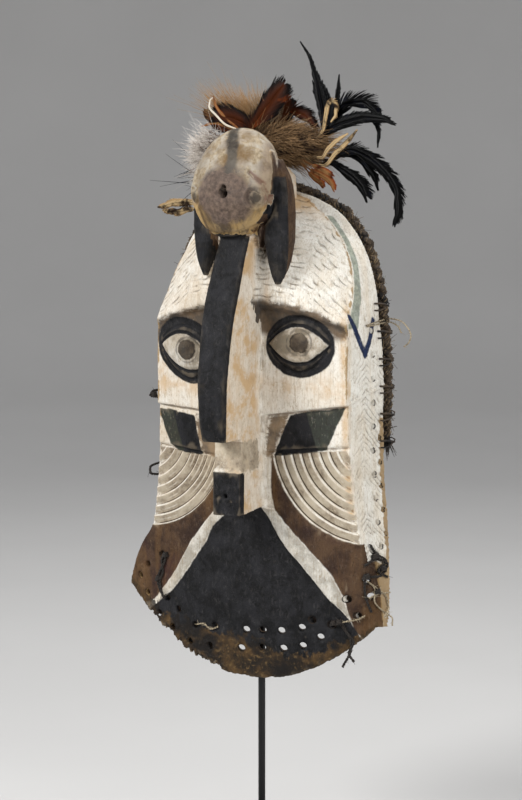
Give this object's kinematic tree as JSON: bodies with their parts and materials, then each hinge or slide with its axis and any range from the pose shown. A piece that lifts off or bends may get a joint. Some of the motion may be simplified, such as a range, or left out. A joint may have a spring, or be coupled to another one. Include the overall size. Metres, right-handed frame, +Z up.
{
  "type": "carved face mask on stand",
  "caption": "Hollow carved wooden face mask with blade nose, box mouth, animal head crest, feathers and a raffia braid, held by a rod on a steel foot.",
  "frame": {"origin": "centre of the steel foot's underside, where it rests on the table", "axes": "+Z up from the foot through the chin to the crest, the face looks along -Y, +X to the viewer's right"},
  "size_m": [0.2622, 0.155, 0.7332],
  "materials": {
    "painted_wood": "white kaolin, black, red-brown and green earth paints on carved wood, worn",
    "raffia": "dark plaited raffia",
    "hide": "brown hide with short hair",
    "black_feather": "glossy black cock feathers",
    "brown_feather": "dark brown feathers",
    "orange_feather": "orange hackle feathers",
    "cream_feather": "cream quills",
    "white_feather": "white down and quills",
    "tan_feather": "tan down",
    "black_steel": "satin black"
  },
  "bodies": {
    "root": {"carved_mask": "painted_wood", "raffia_braid": "raffia", "hide_pad": "hide", "feather_black_tall": "black_feather", "feather_black_short": "black_feather", "feather_black_broad": "black_feather", "feather_black_arched": "black_feather", "feather_black_level": "black_feather", "feather_black_sickle": "black_feather", "feather_black_low": "black_feather", "feather_black_hanging": "black_feather", "quill_cream_long": "cream_feather", "quill_cream_short": "cream_feather", "feather_orange": "orange_feather", "feather_brown_broad": "brown_feather", "feather_brown_left": "brown_feather", "quill_white_curved": "white_feather", "quill_orange_left": "orange_feather", "quill_rim_left": "cream_feather", "down_white": "white_feather", "down_tan": "tan_feather", "stand_foot": "black_steel", "stand_rod": "black_steel"}
  },
  "joints": []
}
